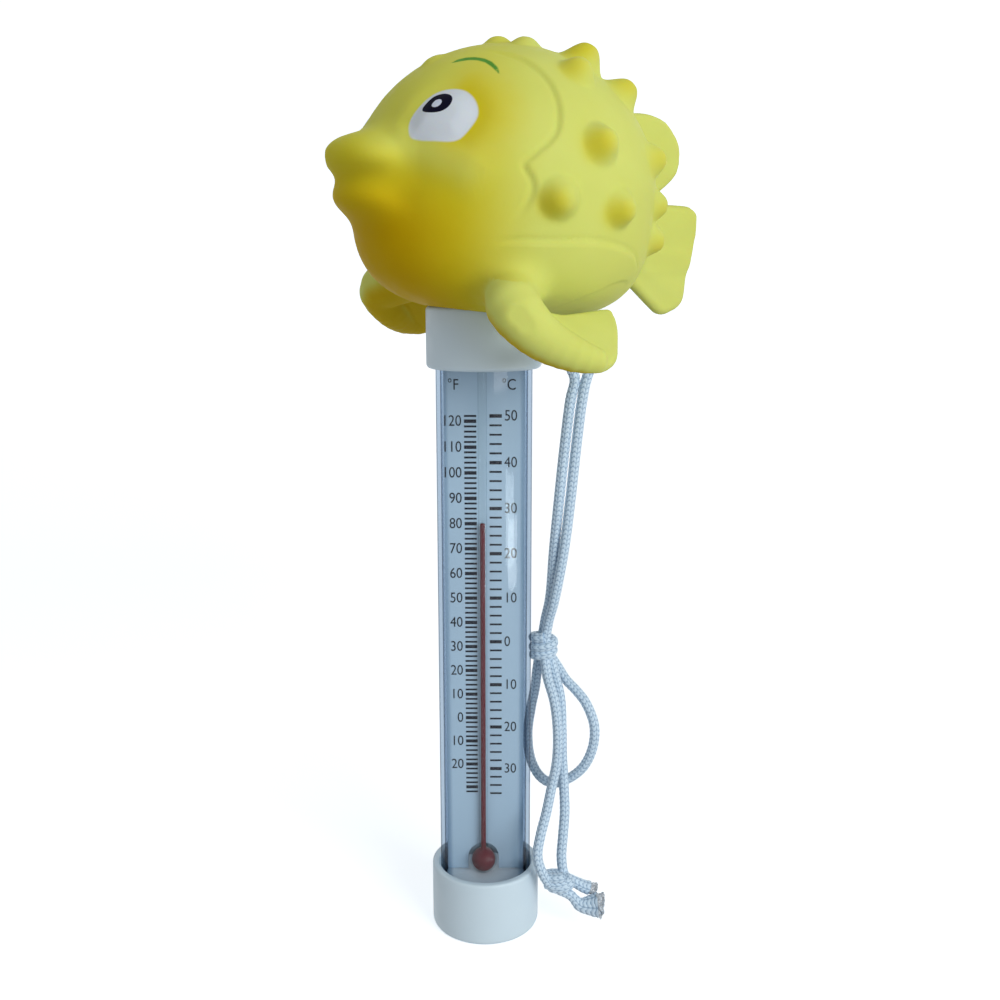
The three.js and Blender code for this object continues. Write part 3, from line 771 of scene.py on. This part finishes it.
def airbrush(own, surface, normal):
    """How golden the skin is, and how deep its yellow is.

    Both lie under the face, beside the eye, in front of each spike and on the fins' inner sides. Beside the
    eye they are the toy's airbrush. Under the face they are partly airbrush and partly painted shade, and in
    front of each spike they are painted shade. Less of them reaches the top of the fold under the eye, which
    leaves a painted highlight there."""
    azimuth = np.degrees(np.arctan2(own[:, 1], own[:, 0]))
    elevation = np.degrees(np.arctan2(own[:, 2], np.hypot(own[:, 0], own[:, 1])))
    from_fold, from_end = line_offset(surface, CHEEK_RIDGE)
    # Less gold and yellow on the top of the fold under the eye: a painted highlight
    reaches = 1 - 0.5 * bell(from_fold - 2, 4) * ramp(from_end, 0, 0.25)
    # Golden under the face: partly the toy's airbrush, partly painted shade on its shaded lower front
    under = ramp(azimuth, 75, 15) * ramp(elevation, 16, -20) * reaches
    flat, outward = eye_plane(surface)
    halo = np.clip(1 - outline_distance(flat, np.array(EYE)) / 12, 0, 1) * ramp(flat[:, 0], -5, 4)
    halo *= reaches * (outward >= -EYE_DEPTH)
    # Painted shade: gold and deeper yellow on the front and lower side of each spike
    spike_shade = np.clip(spike_relief(surface + (-2.4, 0, 1.2)) / SPIKE_HEIGHT, 0, 1) ** 1.5
    # Deeper yellow over the face, which faces away from the light: painted shade
    face = ramp(azimuth, 80, 40) * (1 - 0.5 * ramp(elevation, -2, 23)) * reaches
    gold = np.max([under, 0.4 * halo, 0.2 * spike_shade], axis=0)
    yellow = np.max([face, halo, 0.75 * spike_shade], axis=0)
    inner_side = 0.8 * ramp(normal @ FIN_OUTWARD, -0.1, -0.8)
    on_fin = ramp(body_distance(own), 1, 4) * (own[:, 1] > 22) * (own[:, 2] < -20)
    return gold + (inner_side - gold) * on_fin, yellow + (inner_side - yellow) * on_fin


def paint_eye(made, surface, on_right):
    """How far each point is from the edges of the eye, its pupil, its glint and the brow."""
    flat, outward = eye_plane(surface)
    flat[on_right & (flat[:, 0] < 0), 0] *= RIGHT_EYE_SQUEEZE
    for name, outline in {"eye": EYE, "pupil": PUPIL, "glint": GLINT, "brow": BROW}.items():
        edge = np.array(outline) if name == "brow" else smooth_route(outline, 0.4, closed=True)[:-1]
        distance = outline_distance(flat, edge)
        distance[outward < -EYE_DEPTH] = FAR
        add_attribute(made, name, distance)


def make_fish(material):
    low, high = (np.array(corner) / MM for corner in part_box("fish_shell"))
    points, faces = surface_net(fish_distance, low - 2, high + 2, SKIN_STEP)
    points = settle(points, fish_distance, 3)
    for _ in range(2):
        points = settle(relaxed(points, faces), fish_distance, 1)
    own = (points - FISH_CENTRE) @ FISH_TURN
    on_right = own[:, 1] < 0
    own[:, 1] = np.abs(own[:, 1])
    surface = own / body_norm(own)[:, None]
    normal = slope_of(fish_distance, points, 0.05)
    normal /= np.maximum(np.linalg.norm(normal, axis=1), 1e-9)[:, None]
    off_skin = ramp(np.abs(body_distance(own)), 0, FADE_HEIGHT)
    relief = fish_relief(surface) * (1 - off_skin) + rib_relief(own) * off_skin
    points = np.clip(points + relief[:, None] * normal, low, high)
    made = mesh_piece("fish_float", points, faces.tolist(), sharp=60)
    paint_eye(made, surface, on_right)
    facing = normal @ FISH_TURN
    facing[on_right, 1] *= -1
    # gold and yellow hold the eye's airbrush together with painted shade and a painted highlight
    gold, yellow = airbrush(own, surface, facing)
    add_attribute(made, "gold", gold)
    add_attribute(made, "yellow", yellow)
    return place(made, "fish", "yellow_vinyl", material, "fish_shell")


# ---------- materials
class Look:
    """A material with short ways of adding nodes to it."""

    def __init__(self, name, **sockets):
        self.material = bpy.data.materials.new(name)
        self.material.use_nodes = True
        self.tree = self.material.node_tree
        self.surface = self.tree.nodes["Principled BSDF"]
        self.output = self.tree.nodes["Material Output"]
        for socket, value in sockets.items():
            self.set(socket.replace("_", " "), value)

    def set(self, socket, value):
        """A number, a colour or another node's output for one socket of the surface."""
        self.feed(self.surface.inputs[socket], value)

    def feed(self, socket, value):
        if isinstance(value, bpy.types.NodeSocket):
            self.tree.links.new(value, socket)
        elif isinstance(value, tuple) and len(value) == 3 and socket.type == "RGBA":
            socket.default_value = (*value, 1)
        else:
            socket.default_value = value

    def node(self, kind, inputs=(), **settings):
        made = self.tree.nodes.new(f"ShaderNode{kind}")
        for setting, value in settings.items():
            setattr(made, setting, value)
        for socket, value in dict(inputs).items():
            self.feed(made.inputs[socket], value)
        return made

    def attribute(self, name):
        return self.node("Attribute", attribute_name=name).outputs["Fac"]

    def math(self, operation, a, b=0.0, clamp=False):
        return self.node("Math", {0: a, 1: b}, operation=operation, use_clamp=clamp).outputs[0]

    def noise(self, size, detail=3.0, stretch=(1, 1, 1)):
        """Noise from 0 to 1 with features of about size, in metres."""
        position = self.node("TexCoord").outputs["Object"]
        scaled = self.node("Mapping", {"Vector": position, "Scale": stretch}).outputs[0]
        inputs = {"Vector": scaled, "Scale": 1 / size, "Detail": detail}
        return self.node("TexNoise", inputs).outputs["Fac"]

    def within(self, value, low, high):
        """value moved smoothly from 0 at low to 1 at high."""
        inputs = {"Value": value, "From Min": low, "From Max": high}
        return self.node("MapRange", inputs, interpolation_type="SMOOTHSTEP").outputs["Result"]

    def mix(self, share, a, b):
        made = self.node("Mix", data_type="RGBA")
        self.feed(made.inputs[0], share)
        self.feed(made.inputs[6], a)
        self.feed(made.inputs[7], b)
        return made.outputs[2]

    def bump(self, height, strength, distance=0.0002):
        normal = self.node("Bump", {"Height": height, "Strength": strength, "Distance": distance})
        self.set("Normal", normal.outputs[0])


def vinyl_look():
    look = Look("yellow_vinyl", Specular_IOR_Level=0.01)
    mottle = look.noise(0.02, 4)
    lime = look.mix(mottle, (0.6, 0.63, 0.13), (0.66, 0.71, 0.19))
    gold = look.mix(mottle, (0.54, 0.34, 0.0), (0.61, 0.39, 0.001))
    yellow = look.mix(mottle, (0.6, 0.565, 0.015), (0.66, 0.625, 0.03))
    # Lime is the skin as it looks where lit. Yellow and gold deepen it for the eye's airbrush, and as
    # painted shade on the shaded front and spikes
    skin = look.mix(look.attribute("yellow"), lime, yellow)
    skin = look.mix(look.attribute("gold"), skin, gold)
    green = look.mix(look.noise(0.003), (0.05, 0.2, 0.02), (0.14, 0.38, 0.06))
    skin = look.mix(look.within(look.attribute("brow"), 0.25, -0.15), skin, green)
    eye = look.attribute("eye")
    skin = look.mix(look.within(eye, 0.3, -0.3), skin, (0.62, 0.67, 0.72))
    skin = look.mix(look.within(look.attribute("pupil"), 0.1, -0.1), skin, (0.006, 0.006, 0.018))
    skin = look.mix(look.within(look.attribute("glint"), 0.1, -0.1), skin, (0.6, 0.66, 0.76))
    look.set("Base Color", skin)
    look.set("Roughness", look.within(look.noise(0.004, 4), -1.2, 2.4))
    look.set("Subsurface Weight", 0.15)
    look.set("Subsurface Radius", (1.0, 0.5, 0.1))
    look.set("Subsurface Scale", 0.003)
    look.bump(look.noise(0.0008, 2), 0.1)
    return look.material


def white_plastic_look():
    look = Look("white_plastic", Roughness=0.32)
    look.set("Base Color", look.mix(look.noise(0.015, 4), (0.58, 0.71, 0.79), (0.64, 0.77, 0.85)))
    look.set("Roughness", look.within(look.noise(0.004, 4), -0.6, 1.6))
    look.set("Subsurface Weight", 0.1)
    look.set("Subsurface Radius", (0.8, 0.9, 1.0))
    look.set("Subsurface Scale", 0.002)
    look.bump(look.noise(0.0015, 3), 0.05)
    return look.material


def clear_look(name, tint, side_shade, edge_shade, gloss):
    """A clear wall that shines like plastic or glass. It darkens more and more towards its edges as seen:
    painted shade for the dark bands that refraction gives a clear wall there.
    """
    look = Look(name)
    facing = look.node("LayerWeight", {"Blend": 0.5}).outputs["Facing"]
    # Painted shade towards the edges, in place of refraction
    colour = look.mix(look.within(facing, 0.42, 0.56), tint, side_shade)
    colour = look.mix(look.within(facing, 0.74, 0.92), colour, edge_shade)
    through = look.node("BsdfTransparent", {"Color": colour}).outputs[0]
    roughness = look.math("ADD", look.math("MULTIPLY", look.noise(0.002, 4, (1, 1, 0.1)), 0.04), 0.03)
    shine = look.node("BsdfGlossy", {"Color": (1.0, 1.0, 1.0), "Roughness": roughness}).outputs[0]
    grazing = look.math("MULTIPLY", look.math("POWER", facing, 5.0), 0.25)
    share = look.math("MULTIPLY", look.math("ADD", grazing, 0.04), gloss, clamp=True)
    mixed = look.node("MixShader", {0: share, 1: through, 2: shine}).outputs[0]
    look.tree.nodes.remove(look.surface)
    look.feed(look.output.inputs["Surface"], mixed)
    return look.material


def card_look():
    look = Look("printed_card", Roughness=0.55)
    look.set("Base Color", look.mix(look.noise(0.02, 4), (0.4, 0.54, 0.68), (0.46, 0.61, 0.75)))
    look.bump(look.noise(0.0006, 3), 0.08)
    return look.material


def cord_look():
    look = Look("braided_cord", Roughness=0.55)
    relief = look.attribute("relief")
    fibre = look.noise(0.0004, 3)
    white = look.mix(fibre, (0.5, 0.67, 0.83), (0.68, 0.82, 0.93))
    # The grooves between the stitches are darker and bluer: painted shade in the braid's hollows
    look.set("Base Color", look.mix(look.within(relief, 0.05, 0.85), (0.24, 0.37, 0.52), white))
    look.set("Sheen Weight", 0.3)
    look.bump(fibre, 0.3, 0.00015)
    return look.material


def melted_look():
    look = Look("melted_nylon", Roughness=0.12)
    look.set("Base Color", look.mix(look.noise(0.0015), (0.4, 0.42, 0.45), (0.85, 0.9, 0.94)))
    look.set("Transmission Weight", 0.55)
    look.set("IOR", 1.5)
    return look.material


def plain_look(name, dark, light, roughness, size=0.002, detail=4, bump=0.15, **sockets):
    """A plain material with a fine grain in its colour. With a bump of 0 its surface is smooth."""
    look = Look(name, Roughness=roughness, **sockets)
    grain = look.noise(size, detail)
    look.set("Base Color", look.mix(grain, dark, light))
    if bump:
        look.bump(grain, bump)
    return look.material


# ---------- tube, caps and what is inside
def make_caps(material):
    foot = [
        (0, 0), (CAP_RADIUS, 0, 1.5), (CAP_RADIUS, 15.4), (CAP_RADIUS, CAP_HEIGHT, 0.7),
        (SOCKET_RADIUS, CAP_HEIGHT, 0.5), (SOCKET_RADIUS, CAP_FLOOR, 0.4), (0, CAP_FLOOR),
    ]
    place(turned("bottom_cup", rounded(foot)), "float_body", "white_plastic", material, "bottom_cap")
    bore = SPIGOT_RADIUS - SPIGOT_WALL
    floor = COLLAR_TOP + 0.8
    collar = [
        (0, DECK_UNDERSIDE), (SOCKET_RADIUS, DECK_UNDERSIDE, 0.4), (SOCKET_RADIUS, COLLAR_BOTTOM, 0.2),
        (13.0, COLLAR_BOTTOM, 0.2), (CAP_RADIUS, COLLAR_BOTTOM + 0.2, 1.1), (CAP_RADIUS, COLLAR_TOP, 1.2),
        (SPIGOT_RADIUS, COLLAR_TOP, 0.6), (SPIGOT_RADIUS, SPIGOT_TOP, 0.8), (bore, SPIGOT_TOP, 0.3),
        (bore, floor, 0.8), (0, floor),
    ]
    top = turned("collar", rounded(collar))
    place(top, "float_body", "white_plastic", material, "top_cap")
    place(make_lug(), "float_body", "white_plastic", material)


def arm_boxes():
    """The corners and faces of the lug's two arms, from the collar to the bar's middle."""
    heights = (BAR_Z - ARM_THICKNESS / 2, BAR_Z + ARM_THICKNESS / 2)
    box = [(0, 1, 3, 2), (4, 6, 7, 5), (0, 4, 5, 1), (2, 3, 7, 6), (0, 2, 6, 4), (1, 5, 7, 3)]
    corners, faces = [], []
    for side in (-1, 1):
        depths = sorted((side * BAR_REACH, side * (BAR_REACH - ARM_WIDTH)))
        faces += [tuple(len(corners) + corner for corner in face) for face in box]
        corners += [(x, y, z) for x in (ARM_ROOT_X, BAR_X) for y in depths for z in heights]
    return corners, faces


def make_lug():
    """Two arms from the collar and the round bar between them, all with soft edges."""
    ends = [(0, -BAR_REACH), (BAR_RADIUS, -BAR_REACH, 0.7), (BAR_RADIUS, BAR_REACH, 0.7), (0, BAR_REACH)]
    bar = turned("lug", rounded(ends), 64)
    points = np.array([v.co for v in bar.data.vertices]) / MM
    points = np.stack([points[:, 0] + BAR_X, -points[:, 2], points[:, 1] + BAR_Z], -1)
    faces = [tuple(p.vertices) for p in bar.data.polygons]
    bpy.data.objects.remove(bar)
    corners, arm_faces = arm_boxes()
    faces += [tuple(len(points) + corner for corner in face) for face in arm_faces]
    made = mesh_piece("cord_lug", np.vstack([points, corners]), faces)
    bevel = made.modifiers.new("soft_edges", "BEVEL")
    bevel.width = 0.6 * MM
    bevel.segments = 3
    bevel.limit_method = "ANGLE"
    return made


def make_tube(material):
    wall = [
        (TUBE_BORE, 80), (TUBE_BORE, TUBE_BOTTOM, 0.2), (TUBE_RADIUS, TUBE_BOTTOM, 0.2),
        (TUBE_RADIUS, TUBE_TOP, 0.2), (TUBE_BORE, TUBE_TOP, 0.2), (TUBE_BORE, 80),
    ]
    place(turned("tube", rounded(wall)), "float_body", "clear_plastic", material, "clear_tube")


def ball_outline(radius, neck_radius, steps):
    """A ball's side round the bulb's middle, from its bottom up to its neck."""
    last = math.pi - math.asin(neck_radius / radius)
    return [(radius * math.sin(a), BULB_Z - radius * math.cos(a)) for a in np.linspace(0, last, steps)]


def make_stem(glass, spirit):
    bulb = ball_outline(BULB_RADIUS, STEM_RADIUS, 32)
    bulb += [(STEM_RADIUS, bulb[-1][1] + 1.2, 0.8), (STEM_RADIUS, STEM_TOP, 0.8), (0, STEM_TOP)]
    stem = turned("stem", rounded(bulb), 48, STEM_X)
    place(stem, "float_body", "stem_glass", glass, "glass_stem")
    drop = ball_outline(SEEN_BULB_RADIUS, SEEN_SPIRIT_RADIUS, 24)
    drop += [(radius, COLUMN_BOTTOM + SPIRIT_OVERLAP) for radius in (SEEN_SPIRIT_RADIUS, 0)]
    place(turned("bulb_spirit", drop, 48, STEM_X), "float_body", "red_spirit", spirit, "spirit_bulb")

    foot = COLUMN_BOTTOM + SPIRIT_OVERLAP / 2
    head = MENISCUS_TOP - MENISCUS_HEIGHT
    side = [(SEEN_SPIRIT_RADIUS, z) for z in np.linspace(foot, head, 90)]
    column = turned("red_column", [(0, foot), *side, (0, head)], 24, STEM_X)
    column.data.materials.append(spirit)
    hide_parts("spirit_column")
    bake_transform(column)

    low = head - SPIRIT_OVERLAP
    end = [(0, low), (SEEN_SPIRIT_RADIUS, low), (SEEN_SPIRIT_RADIUS, MENISCUS_TOP, 0.4), (0, MENISCUS_TOP)]
    meniscus = turned("meniscus", rounded(end), 24, STEM_X)
    place(meniscus, "spirit", "red_spirit", spirit, "spirit_meniscus")


def lettering(text, x, z, align):
    """A word of print: its points on the card and its faces."""
    curve = bpy.data.curves.new("word", "FONT")
    curve.body = text
    curve.size = DIGIT_SIZE
    curve.align_x = align
    curve.align_y = "CENTER"
    curve.resolution_u = 5
    word = bpy.data.objects.new("word", curve)
    bpy.context.scene.collection.objects.link(word)
    bpy.context.view_layer.update()
    mesh = word.evaluated_get(bpy.context.evaluated_depsgraph_get()).to_mesh()
    points = [(x + DIGIT_WIDTH * v.co.x, PRINT_Y, z + v.co.y) for v in mesh.vertices]
    faces = [tuple(p.vertices) for p in mesh.polygons]
    bpy.data.objects.remove(word)
    bpy.data.curves.remove(curve)
    return points, faces


def mark(ends, z, bold):
    """A printed line between two places across the card."""
    half = (BOLD_TICK if bold else FINE_TICK) / 2
    heights = (z - half, z - half, z + half, z + half)
    return [(x, PRINT_Y, up) for x, up in zip((*ends, *reversed(ends)), heights)], [(0, 1, 2, 3)]


def make_print(material):
    """Both ladders of marks with their numbers, and the two units."""
    printed = []
    for celsius in range(-36, 51, 2):
        bold = celsius % 10 == 0
        z = ZERO_C + DEGREE_C * celsius
        printed.append(mark(RIGHT_TICKS, z, bold))
        if bold:
            printed.append(lettering(str(abs(celsius)), RIGHT_DIGITS_START, z, "LEFT"))
    for fahrenheit in range(-32, 123, 2):
        bold = fahrenheit % 10 == 0
        z = ZERO_C + DEGREE_C * (fahrenheit - 32) / 1.8
        printed.append(mark(LEFT_TICKS, z, bold))
        if bold and fahrenheit > -30:
            printed.append(lettering(str(abs(fahrenheit)), LEFT_DIGITS_END, z, "RIGHT"))
    for unit, x in UNIT_PLACES.items():
        printed.append(lettering(unit, x, UNIT_Z, "CENTER"))
    vertices, faces = [], []
    for points, patches in printed:
        faces += [tuple(len(vertices) + corner for corner in patch) for patch in patches]
        vertices += points
    made = mesh_piece("scale_print", vertices, faces)
    place(made, "float_body", "printed_card", material)


def disc_outline(radius, low, high, rounding):
    return rounded([(0, low), (radius, low, rounding), (radius, high, rounding), (0, high)])


def make_ballast(steel, foam, rubber):
    """The weights, the pad over them and the two seals, each rounded within its CAD node's box."""
    pieces = [(f"ballast_disc_{number}", "ballast_steel", steel, 0.3) for number in (1, 2, 3)]
    pieces += [
        ("ballast_pad", "white_foam", foam, 0.5),
        ("bottom_seal", "black_rubber", rubber, 0.3),
        ("top_seal", "black_rubber", rubber, 0.3),
    ]
    for node, slot, material, rounding in pieces:
        low, high = (Vector(corner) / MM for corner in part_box(node))
        made = turned(f"{node}_detail", disc_outline(high.x, low.z, high.z, rounding))
        place(made, "float_body", slot, material, node)


# ---------- floor and lights
def make_stage():
    """A pale floor that curves up into a backdrop. Its sizes are in metres."""
    behind, bend = 0.35, 0.3
    angles = np.linspace(0.15, math.pi / 2, 12)
    curve = [(-2.0, 0), (behind, 0)]
    curve += [(behind + bend * math.sin(a), bend - bend * math.cos(a)) for a in angles]
    curve += [(behind + bend, 2.0)]
    vertices = [(x, y, z) for y, z in curve for x in (-2.5, 2.5)]
    faces = [(2 * i, 2 * i + 1, 2 * i + 3, 2 * i + 2) for i in range(len(curve) - 1)]
    mesh = bpy.data.meshes.new("floor")
    mesh.from_pydata(vertices, [], faces)
    mesh.shade_smooth()
    floor = bpy.data.objects.new("floor", mesh)
    bpy.context.scene.collection.objects.link(floor)
    look = Look("paper", Roughness=0.9, Base_Color=(0.82, 0.85, 0.88))
    look.set("Emission Color", (0.93, 0.97, 1.0))
    look.set("Emission Strength", 0.6)
    floor.visible_diffuse = False
    mesh.materials.append(look.material)


def area_light(name, place_at, aim, size, energy, colour):
    data = bpy.data.lights.new(name, "AREA")
    data.shape = "RECTANGLE"
    data.size, data.size_y = size
    data.energy = energy
    data.color = colour
    made = bpy.data.objects.new(name, data)
    made.location = place_at
    made.rotation_euler = (Vector(place_at) - Vector(aim)).to_track_quat("Z", "Y").to_euler()
    made.visible_camera = False
    bpy.context.scene.collection.objects.link(made)
    return made


def make_lights():
    world = bpy.data.worlds.new("world")
    bpy.context.scene.world = world
    world.use_nodes = True
    world.node_tree.nodes["Background"].inputs["Color"].default_value = (0.97, 0.98, 1.0, 1)
    world.node_tree.nodes["Background"].inputs["Strength"].default_value = 0.42
    middle = (0, 0, 0.15)
    area_light("key", (0.5, -0.6, 0.36), middle, (0.5, 0.5), 4.2, (0.98, 1.0, 1.0))
    area_light("fill", (-0.3, -0.4, 0.8), middle, (0.5, 0.5), 0.4, (0.97, 1.0, 1.0))
    low_right = (0.33, -0.11, 0.026)
    streak = area_light("streak", low_right, (0, 0, 0.1), (0.16, 0.045), 0.25, (0.9, 0.97, 1.0))
    streak.visible_diffuse = False
    bpy.context.scene.view_settings.view_transform = "Standard"


WHITE_PLASTIC = white_plastic_look()
CLEAR_PLASTIC = clear_look("clear_plastic", (0.95, 0.97, 0.98), (0.62, 0.69, 0.76), (0.36, 0.4, 0.46), 0.4)
STEM_GLASS = clear_look("stem_glass", (0.97, 0.98, 0.98), (0.88, 0.91, 0.93), (0.5, 0.58, 0.66), 0.25)
STEEL = plain_look("ballast_steel", (0.4, 0.41, 0.43), (0.6, 0.61, 0.63), 0.35, Metallic=1.0)
FOAM = plain_look("white_foam", (0.6, 0.66, 0.72), (0.72, 0.78, 0.82), 0.9, size=0.0008)
RUBBER = plain_look("black_rubber", (0.012, 0.012, 0.014), (0.03, 0.03, 0.033), 0.7)
RED_SPIRIT = plain_look(
    "red_spirit", (0.1, 0.001, 0.006), (0.15, 0.003, 0.014), 0.3,
    size=0.004, detail=3, bump=0, Specular_IOR_Level=0.05,
)
INK = plain_look(
    "ink", (0.001, 0.002, 0.008), (0.004, 0.006, 0.02), 0.8,
    size=0.001, detail=3, bump=0, Specular_IOR_Level=0.05,
)
make_cords(cord_look(), melted_look())
make_fish(vinyl_look())
make_caps(WHITE_PLASTIC)
make_tube(CLEAR_PLASTIC)
make_stem(STEM_GLASS, RED_SPIRIT)
make_print(INK)
make_ballast(STEEL, FOAM, RUBBER)
for node, slot, material in (
    ("scale_card", "printed_card", card_look()),
    ("card_retainer", "white_plastic", WHITE_PLASTIC),
    ("stem_clip", "white_plastic", WHITE_PLASTIC),
):
    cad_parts[node].data.materials.clear()
    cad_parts[node].data.materials.append(material)
make_stage()
make_lights()
